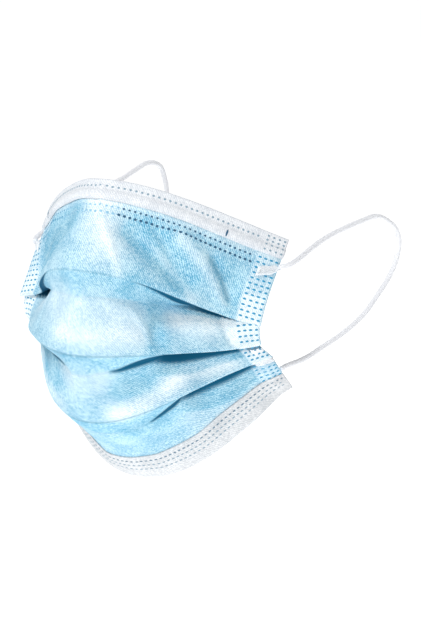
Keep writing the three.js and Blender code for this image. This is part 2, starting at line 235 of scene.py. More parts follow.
# The ear loops' routes, in millimetres, from the upper weld round to the lower one
LEFT_LOOP = [
    (63.5, 40.3, -40.2), (64.5, 41.7, -40), (66.2, 45.2, -39.4), (66.7, 53.5, -38.1),
    (66.5, 65, -36), (67, 79.5, -33.5), (69, 94.5, -31.5), (71.5, 110, -30),
    (73.5, 121.5, -29.5), (75, 131.5, -33), (76.5, 139, -38.5), (77, 142, -45),
    (76.5, 140, -53.5), (75.5, 134.5, -60.5), (74, 125, -67.5), (72, 111.5, -75.5),
    (69, 95.5, -81), (66.5, 80.5, -84), (65.2, 67.5, -86), (64, 58, -86.6),
    (62.6, 51.4, -86.9), (60.8, 48.4, -88),
]
RIGHT_LOOP = [
    (-63.5, 40.3, -40.2), (-64.5, 41.7, -40), (-66.2, 45.2, -39.4), (-65.6, 54, -36.6),
    (-63, 65, -32), (-59, 77.5, -27), (-55.5, 90, -21.5), (-52, 101, -18),
    (-50.5, 111, -15), (-49.5, 119, -13), (-48.5, 125.5, -13.5), (-47.5, 130.5, -16.5),
    (-47, 133, -22), (-46.5, 134.3, -28.5), (-46.5, 133, -35.5), (-47, 128.3, -43.5),
    (-48.5, 121, -51.5), (-50.5, 112, -60), (-53, 101.3, -67.5), (-55.5, 89, -74),
    (-58, 76.5, -79.5), (-60.9, 66, -83.6), (-62.8, 57.6, -86), (-62.6, 51.4, -86.9),
    (-60.8, 48.4, -88),
]


# The camera comes first
def make_camera():
    azimuth = math.radians(CAMERA_AZIMUTH)
    elevation = math.radians(CAMERA_ELEVATION)
    level = math.cos(elevation)
    back = Vector((math.sin(azimuth) * level, -math.cos(azimuth) * level, math.sin(elevation)))
    data = bpy.data.cameras.new("photo_camera")
    data.lens = CAMERA_LENS
    data.sensor_width = 36
    camera = bpy.data.objects.new("photo_camera", data)
    camera.location = CAMERA_TARGET + back * CAMERA_DISTANCE
    camera.rotation_mode = "QUATERNION"
    camera.rotation_quaternion = (-back).to_track_quat("-Z", "Y")
    bpy.context.scene.collection.objects.link(camera)
    bpy.context.scene.camera = camera


# The shape of the cloth
def smoothstep(value, low, high):
    t = np.clip((value - low) / (high - low), 0, 1)
    return t * t * (3 - 2 * t)


def unit(vectors):
    return vectors / np.maximum(np.linalg.norm(vectors, axis=-1, keepdims=True), 1e-9)


TRACE_STEP = 0.5
TRACE_S = np.arange(0, HALF_WIDTH + TRACE_STEP / 2, TRACE_STEP)


def trace_line(line):
    """One half of a fold line, from the middle out, as points at equal steps along the cloth."""
    t = TRACE_S / HALF_WIDTH
    flare = smoothstep(TRACE_S, FLARE_START, FLARE_START + FLARE_RUN)
    turn = line["turn"] * (1 - np.exp(-TRACE_S / line["ease"]))
    yaw = turn + line["sweep"] * t**2 - line["flare"] * flare
    drop = line["dip"] * (1 - np.exp(-TRACE_S / NOSE_EASE)) + 2 * line["fall"] * t + 4 * line["lift"] * t**3
    level = np.sqrt(1 - drop**2)
    heading = np.stack([np.cos(yaw) * level, np.sin(yaw) * level, -drop], axis=1)
    steps = (heading[:-1] + heading[1:]) * TRACE_STEP / 2
    start = np.array([[0.0, line["y"], line["z"]]])
    return np.vstack([start, start + np.cumsum(steps, axis=0)])


LINES = [trace_line(line) for line in FOLD_LINES]


class Profile:
    """The profile down the mask at each distance out from the middle: knots and end tangents."""

    def __init__(self, side):
        self.knots = np.stack(
            [np.stack([np.interp(side, TRACE_S, line[:, c]) for c in range(3)], axis=1) for line in LINES],
            axis=1,
        )
        chords = np.diff(self.knots, axis=1)
        self.spans = np.linalg.norm(chords, axis=2)
        ways = unit(chords)
        between = unit(ways[:, :-1] + ways[:, 1:])
        starts = ways.copy()
        ends = ways.copy()
        starts[:, 1:] = unit(ways[:, 1:] * (1 - FOLD_ROUNDING) + between * FOLD_ROUNDING)
        ends[:, :-1] = unit(ways[:, :-1] * (1 - FOLD_ROUNDING) + between * FOLD_ROUNDING)
        self.starts = starts * self.spans[..., None]
        self.ends = ends * self.spans[..., None]

    def piece(self, part, t):
        """Points on one stretch of the profile, where t runs from 0 to 1 along it."""
        held = np.clip(t, 0, 1)[..., None]
        square, cube = held**2, held**3
        start = self.starts[:, part][:, None]
        end = self.ends[:, part][:, None]
        point = self.knots[:, part][:, None] * (2 * cube - 3 * square + 1)
        point = point + start * (cube - 2 * square + held)
        point = point + self.knots[:, part + 1][:, None] * (3 * square - 2 * cube)
        point = point + end * (cube - square)
        over = t[..., None] - held
        return point + np.where(over > 0, end, start) * over

    def at(self, k, x):
        """Points x below fold line k, or above it where x is negative."""
        below = self.piece(k, x / self.spans[:, k][:, None])
        if k == 0:
            return below
        above = self.piece(k - 1, 1 + x / self.spans[:, k - 1][:, None])
        return np.where((x >= 0)[..., None], below, above)


def outward(side, k, x):
    """The way out of the mask, square to the profile."""
    inner = np.maximum(side - NORMAL_REACH, 0)
    outer = np.minimum(side + NORMAL_REACH, HALF_WIDTH)
    across = Profile(outer).at(k, x) - Profile(inner).at(k, x)
    across[inner == 0] = (1, 0, 0)
    here = Profile(side)
    down = here.at(k, x + NORMAL_REACH) - here.at(k, x - NORMAL_REACH)
    return unit(np.cross(down, across))


def pressed(dents, s, v):
    """How far a list of dents presses the cloth in."""
    depth = np.zeros(np.broadcast(s, v).shape)
    for dent in dents:
        ds = s - dent["s"]
        dv = v - dent["v"]
        tilt = dent["tilt"]
        down = dv * math.cos(tilt) + ds * math.sin(tilt)
        across = ds * math.cos(tilt) - dv * math.sin(tilt)
        depth = depth + dent["depth"] * np.exp(-((down / dent["long"]) ** 2) - (across / dent["wide"]) ** 2)
    return depth


def along_line(s, v, line):
    """Distance of each point of the flat cloth from a line drawn on it."""
    nearest = np.full(np.broadcast(s, v).shape, 1e9)
    for (s0, v0), (s1, v1) in zip(line[:-1], line[1:]):
        ds, dv = s1 - s0, v1 - v0
        share = np.clip(((s - s0) * ds + (v - v0) * dv) / (ds * ds + dv * dv), 0, 1)
        nearest = np.minimum(nearest, np.hypot(s - s0 - share * ds, v - v0 - share * dv))
    return nearest


def drawn(table_rows, key, s, v):
    """The sum of what the lines in a table add, each fading away from its line."""
    total = np.zeros(np.broadcast(s, v).shape)
    for row in table_rows:
        total = total + row[key] * np.exp(-((along_line(s, v, row["line"]) / row["wide"]) ** 2))
    return total


def pleat_elbow(s, k):
    """Where the pleat's inner fold lies: along the profile below the outer fold, and in depth."""
    side = np.abs(s)
    length = PANELS[k] + (EDGE_TURN if k == len(PANELS) - 1 else 0)
    shortest = length - PLEAT_DEPTH + PLEAT_SLACK
    longest = length + PLEAT_DEPTH - PLEAT_SLACK
    span = np.clip(Profile(side).spans[:, k], shortest, longest)
    along = (PLEAT_DEPTH**2 - length**2 + span**2) / (2 * span)
    depth = np.sqrt(np.maximum(PLEAT_DEPTH**2 - along**2, 0))
    pleat = PLEATS[k - 1]
    left = 1 + (pleat["left"] - 1) * smoothstep(side, *LEFT_EASE) * (1 - smoothstep(side, *LEFT_END))
    left = left + (pleat["strip"] - 1) * smoothstep(side, *STRIP_EASE)
    right = 1 + (pleat["right"] - 1) * smoothstep(side, *RIGHT_EASE)
    least = np.minimum(depth, LEAST_POCKET) * smoothstep(side, *POCKET_EASE)
    return along, np.maximum(depth * np.where(s < 0, right, left), least), span, length


def cloth(s, k, w, riser=False):
    """Middle points of the cloth: s across (n), w down panel k (m), or down the riser above it."""
    side = np.abs(s)
    x = np.tile(w + EDGE_TURN, (len(s), 1))
    depth = np.zeros_like(x)
    last = len(PANELS) - 1
    if k > 0:
        along, elbow, span, length = pleat_elbow(s, k)
        if riser:
            share = w / PLEAT_DEPTH
            x = along[:, None] * share
            depth = elbow[:, None] * share
        else:
            share = w / length
            x = along[:, None] + (span - along)[:, None] * share
            depth = elbow[:, None] * (1 - share)
    profile = Profile(side)
    point = profile.at(k, x)
    v = panel_v(k, riser) + w
    if not riser:
        share = w / PANELS[k]
        to_fold = np.minimum(1 if k == last else 1 - share, 1 if k == 0 else share)
        creased = pressed(DENTS, s[:, None], v[None]) + drawn(CREASES, "depth", s[:, None], v[None])
        depth = depth + creased * smoothstep(to_fold, 0, 0.25)
    above = profile.spans[:, :k].sum(axis=1)[:, None]
    depth = depth + pressed(SWELLS, s[:, None], v[None]) + pressed(BENDS, s[:, None], above + x)
    point = point - outward(side, k, x) * depth[..., None]
    point[..., 0] *= np.where(s < 0, -1, 1)[:, None]
    return point


def panel_v(k, riser=False):
    """How far down the flat cloth panel k starts, or the riser above it."""
    start = sum(PANELS[:k]) + k * PLEAT_DEPTH
    return start - PLEAT_DEPTH if riser else start


def steps(length, step):
    return np.linspace(0, length, max(int(round(length / step)), 1) + 1)


def grid_normals(points):
    """Outward normals of a grid of points, s along the first axis and down along the second."""
    across = np.gradient(points, axis=0)
    down = np.gradient(points, axis=1)
    return unit(np.cross(down, across))


# Meshes
def grid_faces(columns, rows, offset, flip):
    i, j = np.meshgrid(np.arange(columns - 1), np.arange(rows - 1), indexing="ij")
    a = (offset + i * rows + j).ravel()
    b = a + 1
    c = a + rows + 1
    d = a + rows
    return np.stack([a, d, c, b] if flip else [a, b, c, d], axis=1)


def shell_mesh(name, front, back, uv, materials, fields=None):
    """A closed sheet from a front and a back grid of points in millimetres. Slot 1 is the back."""
    columns, rows = front.shape[:2]
    count = columns * rows
    faces = [grid_faces(columns, rows, 0, False), grid_faces(columns, rows, count, True)]
    top = np.arange(columns) * rows
    bottom = top + rows - 1
    left = np.arange(rows)
    right = left + (columns - 1) * rows
    rims = []
    for line, flip in ((top, False), (bottom, True), (left, True), (right, False)):
        a, b = line[:-1], line[1:]
        quad = [a, b, b + count, a + count]
        rims.append(np.stack(quad[::-1] if flip else quad, axis=1))
    faces = np.vstack(faces + rims)
    points = np.vstack([front.reshape(-1, 3), back.reshape(-1, 3)]) * MM
    mesh = bpy.data.meshes.new(name)
    mesh.vertices.add(len(points))
    mesh.vertices.foreach_set("co", points.astype(np.float32).ravel())
    mesh.loops.add(faces.size)
    mesh.loops.foreach_set("vertex_index", faces.astype(np.int32).ravel())
    mesh.polygons.add(len(faces))
    mesh.polygons.foreach_set("loop_start", np.arange(0, faces.size, 4, dtype=np.int32))
    slots = np.zeros(len(faces), np.int32)
    cells = (columns - 1) * (rows - 1)
    if len(materials) > 1:
        slots[cells:2 * cells] = 1
    mesh.polygons.foreach_set("material_index", slots)
    mesh.polygons.foreach_set("use_smooth", np.ones(len(faces), bool))
    layer = mesh.uv_layers.new(name="cloth")
    both = np.vstack([uv.reshape(-1, 2), uv.reshape(-1, 2)])
    layer.data.foreach_set("uv", both[faces.ravel()].astype(np.float32).ravel())
    for field, values in (fields or {}).items():
        attribute = mesh.attributes.new(field, "FLOAT", "POINT")
        attribute.data.foreach_set("value", np.tile(values.ravel(), 2).astype(np.float32))
    for material in materials:
        mesh.materials.append(material)
    mesh.update()
    mesh.validate()
    piece = bpy.data.objects.new(name, mesh)
    bpy.context.scene.collection.objects.link(piece)
    return piece


def soften_rows(points, rows):
    """Rounds the folds: the rows at each fold are averaged with their neighbours."""
    near = np.zeros(points.shape[1], bool)
    for row in rows:
        near[max(row - 1, 1):row + 2] = True
    near[-1] = False
    inside = np.where(near)[0]
    points[:, inside] = (points[:, inside - 1] + 2 * points[:, inside] + points[:, inside + 1]) / 4
    return points


HALF_COLUMNS = 105
S_GRID = np.arange(-HALF_COLUMNS, HALF_COLUMNS + 1) * S_STEP
ZONE_SPREAD = 2.6


def fold_shade(s, k, w, riser, spread=1.0):
    """How much painted shade the cloth gets in its pleat: 1 deep in the pocket, 0 on the open panels."""
    if k == 0:
        return np.zeros((len(s), len(w)))
    pleat = PLEATS[k - 1]
    along, elbow, span, length = pleat_elbow(s, k)
    grown = np.clip((np.abs(s) - pleat["starts"]) / (pleat["full"] - pleat["starts"]), 0, 1)[:, None]
    limit = PLEAT_DEPTH * grown ** (1.6 if pleat["at_inner"] else 2)
    if riser:
        way = PLEAT_DEPTH - w if pleat["at_inner"] else w
        near = 1 - smoothstep(way[None] - limit, -0.5, 1.0)
        return near * smoothstep(grown, 0, 0.15) * smoothstep(w, 0, 0.6)[None]
    share = w / length
    x = along[:, None] + (span - along)[:, None] * share
    depth = np.maximum(elbow[:, None] * (1 - share), 0.05)
    reach = pleat["reach"] * spread
    tucked = 1 - smoothstep(x / depth, reach * 0.7, reach * 1.1)
    corner = 1 - smoothstep(w[None] / (1 + 2 * grown), 0.3, 1.2) if pleat["at_inner"] else 0
    return np.maximum(tucked * smoothstep(grown, 0.5, 1), corner * smoothstep(grown, 0, 0.15))


def cloth_grid():
    """The whole cloth's middle points, its v values, its pleats' painted shade and a wider zone of painted
    shade.
    """
    parts, values, folds, shades, zones = [], [], [], [], []
    count = 0
    for k, length in enumerate(PANELS):
        if k > 0:
            w = steps(PLEAT_DEPTH, V_STEP)[1:-1]
            parts.append(cloth(S_GRID, k, w, riser=True))
            shade = fold_shade(S_GRID, k, w, True)
            shades.append(shade)
            zones.append(shade)
            values.append(panel_v(k, True) + w)
            count += len(w)
            folds.append(count)
        w = steps(length, V_STEP)
        parts.append(cloth(S_GRID, k, w))
        shades.append(fold_shade(S_GRID, k, w, False))
        zones.append(fold_shade(S_GRID, k, w, False, ZONE_SPREAD))
        values.append(panel_v(k) + w)
        count += len(w)
        folds.append(count - 1)
    points = np.concatenate(parts, axis=1)
    points = soften_rows(points, folds[:-1])
    shade = np.concatenate(shades, axis=1)
    zone = np.concatenate(zones, axis=1)
    return points, np.concatenate(values), shade, zone


def lip_shade(s, v):
    """The thin line of painted shade under each pleat's outer fold, and the fainter one along its inner fold.
    """
    shade = np.zeros(np.broadcast(s, v).shape)
    for k, pleat in enumerate(PLEATS, 1):
        outer = pleat["line"] * np.exp(-(((v - panel_v(k, True) - 0.9) / 0.6) ** 2))
        inner = pleat["line"] * 0.4 * np.exp(-(((v - panel_v(k)) / 0.6) ** 2))
        shade = np.maximum(shade, np.maximum(outer, inner))
    return shade


def strip_mask(s):
    return smoothstep(np.abs(s), STRIP_INNER - 0.6, STRIP_INNER + 0.6)


# Materials
def new_material(name):
    material = bpy.data.materials.new(name)
    material.use_nodes = True
    tree = material.node_tree
    tree.nodes.clear()
    out = tree.nodes.new("ShaderNodeOutputMaterial")
    shader = tree.nodes.new("ShaderNodeBsdfPrincipled")
    tree.links.new(shader.outputs["BSDF"], out.inputs["Surface"])
    return material, tree, shader


def node(tree, kind, inputs=None, **settings):
    made = tree.nodes.new(kind)
    for key, value in settings.items():
        setattr(made, key, value)
    for key, value in (inputs or {}).items():
        if isinstance(value, bpy.types.NodeSocket):
            tree.links.new(value, made.inputs[key])
        else:
            made.inputs[key].default_value = value
    return made


def nonwoven_group():
    """Nonwoven cloth: matted fibres and a slanting embossed hatch, laid along the flat cloth."""
    group = bpy.data.node_groups.new("nonwoven", "ShaderNodeTree")
    face = group.interface
    face.new_socket("Vector", in_out="INPUT", socket_type="NodeSocketVector")
    for name, value in (("Hatch Scale", 66.0), ("Fibre Scale", 360.0), ("Hatch", 0.3), ("Contrast", 3.6)):
        face.new_socket(name, in_out="INPUT", socket_type="NodeSocketFloat").default_value = value
    face.new_socket("Tone", in_out="OUTPUT", socket_type="NodeSocketFloat")
    face.new_socket("Height", in_out="OUTPUT", socket_type="NodeSocketFloat")
    source = group.nodes.new("NodeGroupInput")
    sink = group.nodes.new("NodeGroupOutput")
    place = source.outputs["Vector"]
    turned = node(group, "ShaderNodeMapping", {"Vector": place, "Rotation": (0, 0, -0.7)})
    hatch = node(
        group, "ShaderNodeTexWave",
        {"Vector": turned.outputs[0], "Scale": source.outputs["Hatch Scale"], "Distortion": 4.0,
         "Detail": 1.0, "Detail Scale": 2.0},
        wave_type="BANDS", bands_direction="X",
    )
    fibres = node(
        group, "ShaderNodeTexNoise",
        {"Vector": place, "Scale": source.outputs["Fibre Scale"], "Detail": 3.0, "Roughness": 0.75},
    )
    clumps = node(
        group, "ShaderNodeTexNoise", {"Vector": place, "Scale": 120.0, "Detail": 2.0, "Roughness": 0.6},
    )
    cloud = node(
        group, "ShaderNodeTexNoise", {"Vector": place, "Scale": 16.0, "Detail": 2.0, "Roughness": 0.5},
    )
    hatched = node(
        group, "ShaderNodeMath", {0: hatch.outputs["Fac"], 1: source.outputs["Hatch"]}, operation="MULTIPLY",
    )
    height = node(group, "ShaderNodeMath", {0: hatched.outputs[0], 1: fibres.outputs["Fac"]}, operation="ADD")
    matted = node(
        group, "ShaderNodeMath", {0: clumps.outputs["Fac"], 1: 0.5, 2: height.outputs[0]},
        operation="MULTIPLY_ADD",
    )
    clouded = node(
        group, "ShaderNodeMath", {0: cloud.outputs["Fac"], 1: 0.35, 2: matted.outputs[0]},
        operation="MULTIPLY_ADD",
    )
    centred = node(group, "ShaderNodeMath", {0: clouded.outputs[0], 1: 1.04}, operation="SUBTRACT")
    tone = node(
        group, "ShaderNodeMath", {0: centred.outputs[0], 1: source.outputs["Contrast"], 2: 0.5},
        operation="MULTIPLY_ADD", use_clamp=True,
    )
    group.links.new(tone.outputs[0], sink.inputs["Tone"])
    group.links.new(height.outputs[0], sink.inputs["Height"])
    return group


NONWOVEN = nonwoven_group()


def uv_vector(tree):
    return node(tree, "ShaderNodeUVMap", uv_map="cloth").outputs["UV"]


def cloth_material(name, dark, light, pale=None, shade=None, hatch=0.22):
    """Nonwoven between two tones, paler by its pale attribute (painted highlights, and the weld strips' own
    whiteness) and darker by its shade attribute (painted shade), if it has them.
    """
    material, tree, shader = new_material(name)
    woven = node(tree, "ShaderNodeGroup", node_tree=NONWOVEN)
    tree.links.new(uv_vector(tree), woven.inputs["Vector"])
    woven.inputs["Hatch"].default_value = hatch
    tone = node(
        tree, "ShaderNodeMix",
        {"Factor": woven.outputs["Tone"], "A": dark, "B": light}, data_type="RGBA",
    )
    colour = tone.outputs["Result"]
    for field, other in (("pale", pale), ("shade", shade)):
        if other:
            amount = node(tree, "ShaderNodeAttribute", attribute_name=field).outputs["Fac"]
            if field == "pale":
                grain = node(
                    tree, "ShaderNodeMath", {0: woven.outputs["Tone"], 1: 0.7, 2: 0.6},
                    operation="MULTIPLY_ADD",
                )
                amount = node(
                    tree, "ShaderNodeMath", {0: amount, 1: grain.outputs[0]},
                    operation="MULTIPLY", use_clamp=True,
                ).outputs[0]
            mixed = node(tree, "ShaderNodeMix", {"Factor": amount, "A": colour, "B": other}, data_type="RGBA")
            colour = mixed.outputs["Result"]
    tree.links.new(colour, shader.inputs["Base Color"])
    relief = node(
        tree, "ShaderNodeBump",
        {"Height": woven.outputs["Height"], "Strength": 0.3, "Distance": 0.0004},
    )
    tree.links.new(relief.outputs[0], shader.inputs["Normal"])
    shader.inputs["Roughness"].default_value = 0.8
    shader.inputs["Specular IOR Level"].default_value = 0.15
    return material


def dot_material(name, colour):
    material, tree, shader = new_material(name)
    place = node(tree, "ShaderNodeTexCoord").outputs["Object"]
    mottle = node(tree, "ShaderNodeTexNoise", {"Vector": place, "Scale": 900.0, "Detail": 2.0})
    lighter = tuple(min(c * 1.35, 1) for c in colour[:3]) + (1,)
    tone = node(
        tree, "ShaderNodeMix", {"Factor": mottle.outputs["Fac"], "A": colour, "B": lighter},
        data_type="RGBA",
    )
    tree.links.new(tone.outputs["Result"], shader.inputs["Base Color"])
    shader.inputs["Roughness"].default_value = 0.45
    return material


def cord_material(name):
    material, tree, shader = new_material(name)
    knit = node(
        tree, "ShaderNodeTexWave",
        {"Vector": uv_vector(tree), "Scale": 60.0, "Distortion": 2.0, "Detail": 1.0},
        wave_type="BANDS", bands_direction="DIAGONAL",
    )
    tone = node(
        tree, "ShaderNodeMix",
        {"Factor": knit.outputs["Fac"], "A": (0.80, 0.82, 0.87, 1), "B": (0.95, 0.96, 0.98, 1)},
        data_type="RGBA",
    )
    tree.links.new(tone.outputs["Result"], shader.inputs["Base Color"])
    relief = node(
        tree, "ShaderNodeBump", {"Height": knit.outputs["Fac"], "Strength": 0.4, "Distance": 0.0002},
    )
    tree.links.new(relief.outputs[0], shader.inputs["Normal"])
    shader.inputs["Roughness"].default_value = 0.7
    return material


# pale is the colour of the painted highlights and the weld strips' whiteness, shade that of the painted shade
BLUE_CLOTH = cloth_material(
    "blue_cloth", (0.07, 0.34, 0.54, 1), (0.52, 0.77, 0.87, 1),
    pale=(0.84, 0.93, 0.97, 1), shade=(0.0, 0.085, 0.17, 1),
)
WHITE_CLOTH = cloth_material(
    "white_cloth", (0.60, 0.64, 0.69, 1), (0.85, 0.875, 0.90, 1), shade=(0.30, 0.36, 0.42, 1), hatch=0.2,
)
# A darker copy of the white cloth for the chin band, the same cloth as the top band: painted shade
SHADED_WHITE_CLOTH = cloth_material(
    "white_cloth_shaded", (0.54, 0.57, 0.60, 1), (0.81, 0.825, 0.84, 1), shade=(0.30, 0.36, 0.42, 1), hatch=0.2,
)
LINING = cloth_material("lining_cloth", (0.82, 0.85, 0.88, 1), (0.92, 0.93, 0.95, 1), hatch=0.15)
WELD_BLUE = dot_material("weld_blue", (0.015, 0.25, 0.44, 1))
WELD_NAVY = dot_material("weld_navy", (0.012, 0.08, 0.16, 1))
WELD_GREY = dot_material("weld_grey", (0.20, 0.30, 0.37, 1))
WELD_DARK = dot_material("weld_dark", (0.08, 0.17, 0.24, 1))
WELD_MID = dot_material("weld_mid", (0.05, 0.25, 0.42, 1))
WELD_SOFT = dot_material("weld_soft", (0.22, 0.43, 0.58, 1))
CORD = cord_material("cord_elastic")
CORD_END = cloth_material("cord_end_white", (0.36, 0.50, 0.62, 1), (0.92, 0.94, 0.96, 1), hatch=0.9)
WIRE_FINISH = dot_material("wire_coating", (0.72, 0.75, 0.77, 1))


# Pieces
def cloth_uv(s, v):
    width = 2 * HALF_WIDTH
    u = (s + HALF_WIDTH) / width
    return np.stack(np.broadcast_arrays(u[:, None], (1 - v / width)[None]), axis=-1)


def make_panel():
    points, v, shade, zone = cloth_grid()
    normals = grid_normals(points)
    s = S_GRID[:, None]
    down = v[None]
    welded = strip_mask(s) * np.ones_like(down)
    lower = smoothstep(down, panel_v(3) - 1, panel_v(3))
    fade = (0.55 + 0.45 * smoothstep(down, 26, 31)) * (1 - 0.5 * smoothstep(np.abs(s), 86.3, 86.9))
    # On the chin panel the strips are only half as white: partly the blue cloth showing there, partly painted
    # shade
    fade = fade * (1 - 0.5 * lower)
    # Painted light and shade: highlights and shade along lines, and painted shade deep in the pleats and on
    # the risers
    tone = BASE_TONE + drawn(PAINTED_LIGHT_AND_SHADE, "pale", s, down) + TOP_TONE * (1 - smoothstep(down, 9, 13))
    tone = tone + POCKET_SHADE_TONE * zone
    tone = tone + CHIN_TONE * smoothstep(down, 150, 160) * smoothstep(s, 15, 45)
    for k in range(1, len(PANELS)):
        riser = (down > panel_v(k, True) + 0.4) & (down < panel_v(k))
        tone = tone + RISER_SHADE_TONE * riser
    # Tones below nothing darken the cloth as painted shade
    shade = np.maximum(shade, np.clip(-0.3 * tone, 0, 0.25))
    tone = np.clip(tone, 0, 0.95) * (1 - welded)
    # pale carries the painted highlights and the weld strips' own whiteness
    pale = np.clip(tone + welded * fade, 0, 1)
    # Painted shade: the pleats' shade is weaker on the strips above the chin panel, and the lip lines
    # stronger on them
    shade = np.maximum(shade * (1 - (0.6 - 0.4 * lower) * welded), lip_shade(s, down) * (1 + 0.8 * welded))
    points = points + normals * (welded * STRIP_RISE)[..., None]
    front = points + normals * (CLOTH_WALL / 2)
    back = points - normals * (CLOTH_WALL / 2)
    piece = shell_mesh(
        "mask_cloth", front, back, cloth_uv(S_GRID, v), [BLUE_CLOTH, LINING], {"pale": pale, "shade": shade},
    )
    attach(piece, "root")
    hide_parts("mask_panel")
    return points, normals, v


def band_points(k, path):
    """A folded edge's middle points: path is a list of (w, level) on panel k."""
    w = np.array([p[0] for p in path])
    level = np.array([p[1] for p in path])
    low, high = 0.0, PANELS[k]
    fine = np.linspace(low, high, BAND_STATIONS)
    base = cloth(S_GRID, k, fine)
    normals = grid_normals(base)
    picked = []
    for at, lift in zip(w, level):
        inside = np.clip(at, low, high)
        j = np.clip(np.searchsorted(fine, inside) - 1, 0, len(fine) - 2)
        f = (inside - fine[j]) / (fine[j + 1] - fine[j])
        point = base[:, j] * (1 - f) + base[:, j + 1] * f
        normal = unit(normals[:, j] * (1 - f) + normals[:, j + 1] * f)
        down = unit(base[:, j + 1] - base[:, j])
        picked.append(point + normal * lift + down * (at - inside))
    return np.stack(picked, axis=1)


def rounded_turn(w, level, direction, count=7):
    """Half a circle round an edge at w, from the back at -level to the front, or the other way."""
    angles = np.linspace(-math.pi / 2, math.pi / 2, count)
    return [(w - direction * level * math.cos(a), level * math.sin(a)) for a in angles]


def make_top_band():
    path = [(w, -BAND_LEVEL) for w in (BAND_RETURN, 2.0, 1.0)]
    path += rounded_turn(0.0, BAND_LEVEL, 1)
    path += [(w, BAND_LEVEL) for w in (0.8, 1.6, 2.4, 3.2, 4.0)]
    path += [(4.6, 1.35), (5.1, OVER_WIRE), (6.4, OVER_WIRE + 0.05), (7.6, OVER_WIRE), (8.0, 1.35)]
    path += [(8.4, 0.85), (TOP_BAND, 0.62)]
    points = band_points(0, path)
    return band_piece("top_band_cloth", points, path, "top_band", WHITE_CLOTH)


def make_chin_band():
    end = CHIN_PANEL
    path = [(end - 11.8, 0.5), (end - 11.3, 0.62), (end - 10.6, 0.68)]
    path += [(end - 10.6 + 0.88 * i, 0.68 + (BAND_LEVEL - 0.68) * min(i / 4, 1)) for i in range(1, 12)]
    path += rounded_turn(end, BAND_LEVEL, -1)[::-1]
    path += [(end - w, -BAND_LEVEL) for w in (1.0, 2.0, BAND_RETURN)]
    points = band_points(3, path)
    return band_piece("chin_band_cloth", points, path, "chin_band", SHADED_WHITE_CLOTH)


# How dark the painted shade is on the bands' rims
RIM_SHADE = 0.35


def band_piece(name, points, path, cad_node, finish):
    """A folded edge as a sheet, with a thin line of painted shade where it turns over the cloth's edge."""
    normals = grid_normals(points)
    rim = np.array([
        RIM_SHADE if abs(level) < 0.9 and (w < 0 or w > CHIN_PANEL) else 0.0 for w, level in path
    ])
    rim = np.tile(rim, (len(S_GRID), 1))
    length = np.concatenate([[0], np.cumsum(np.hypot(*np.diff(np.array(path), axis=0).T))])
    piece = shell_mesh(
        name, points + normals * BAND_WALL / 2, points - normals * BAND_WALL / 2,
        cloth_uv(S_GRID, length), [finish], {"shade": rim},
    )
    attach(piece, "root")
    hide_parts(cad_node)
    return points, normals, path


# Cords
def smooth_route(points):
    """A centripetal curve through the route's points, cut into short equal steps."""
    p = np.array(points, float)
    p = np.vstack([2 * p[0] - p[1], p, 2 * p[-1] - p[-2]])
    t = np.concatenate([[0], np.cumsum(np.linalg.norm(np.diff(p, axis=0), axis=1) ** 0.5)])
    dense = []
    for i in range(1, len(p) - 2):
        u = np.linspace(t[i], t[i + 1], 24, endpoint=False)[:, None]

        def mix(a, b, ta, tb):
            return a * (tb - u) / (tb - ta) + b * (u - ta) / (tb - ta)

        a1 = mix(p[i - 1], p[i], t[i - 1], t[i])
        a2 = mix(p[i], p[i + 1], t[i], t[i + 1])
        a3 = mix(p[i + 1], p[i + 2], t[i + 1], t[i + 2])
        b1 = mix(a1, a2, t[i - 1], t[i + 1])
        b2 = mix(a2, a3, t[i], t[i + 2])
        dense.append(mix(b1, b2, t[i], t[i + 1]))
    dense = np.vstack(dense + [p[-2][None]])
    run = np.concatenate([[0], np.cumsum(np.linalg.norm(np.diff(dense, axis=0), axis=1))])
    even = np.linspace(0, run[-1], int(run[-1] / ROUTE_STEP) + 1)
    return np.stack([np.interp(even, run, dense[:, c]) for c in range(3)], axis=1), run[-1]


def tube_mesh(name, path, radius):
    """A closed tube along a path, with the knitted cord's fine ribs in its surface."""
    sides = CORD_SIDES
    tangent = unit(np.gradient(path, axis=0))
    normal = np.zeros_like(path)
    normal[0] = unit(np.cross(tangent[0], (0, 0, 1)))
    for i in range(1, len(path)):
        carried = normal[i - 1] - tangent[i] * np.dot(normal[i - 1], tangent[i])
        normal[i] = unit(carried)
    binormal = np.cross(tangent, normal)
    angle = np.arange(sides) * 2 * math.pi / sides
    ring = np.arange(len(path))[:, None]
    ribs = 1 + 0.05 * np.sin(4 * angle[None] + ring * 0.9)
    r = radius * ribs / 1.02
    points = path[:, None] + r[..., None] * (
        normal[:, None] * np.cos(angle)[None, :, None] + binormal[:, None] * np.sin(angle)[None, :, None]
    )
    count = len(path) * sides
    vertices = np.vstack([points.reshape(-1, 3), path[:1], path[-1:]]) * MM
    faces = []
    uvs = []
    for i in range(len(path) - 1):
        for j in range(sides):
            n = (j + 1) % sides
            faces.append((i * sides + j, i * sides + n, (i + 1) * sides + n, (i + 1) * sides + j))
            left, right = j / sides, (j + 1) / sides
            low, high = i / 50, (i + 1) / 50
            uvs += [(left, low), (right, low), (right, high), (left, high)]
    for j in range(sides):
        n = (j + 1) % sides
        last = (len(path) - 1) * sides
        faces.append((n, j, count))
        faces.append((last + j, last + n, count + 1))
        uvs += [(0, 0)] * 6
    mesh = bpy.data.meshes.new(name)
    mesh.from_pydata([tuple(v) for v in vertices], [], faces)
    layer = mesh.uv_layers.new(name="cloth")
    layer.data.foreach_set("uv", np.array(uvs, np.float32).ravel())
    mesh.polygons.foreach_set("use_smooth", np.ones(len(faces), bool))
    mesh.materials.append(CORD)
    piece = bpy.data.objects.new(name, mesh)
    bpy.context.scene.collection.objects.link(piece)
    return piece


def make_ear_loop(side, points):
    path, length = smooth_route(points)
    piece = tube_mesh("cord_" + side, path, CORD_DIAMETER / MM / 2)
    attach(piece, "root")
    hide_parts("ear_loop_" + side)


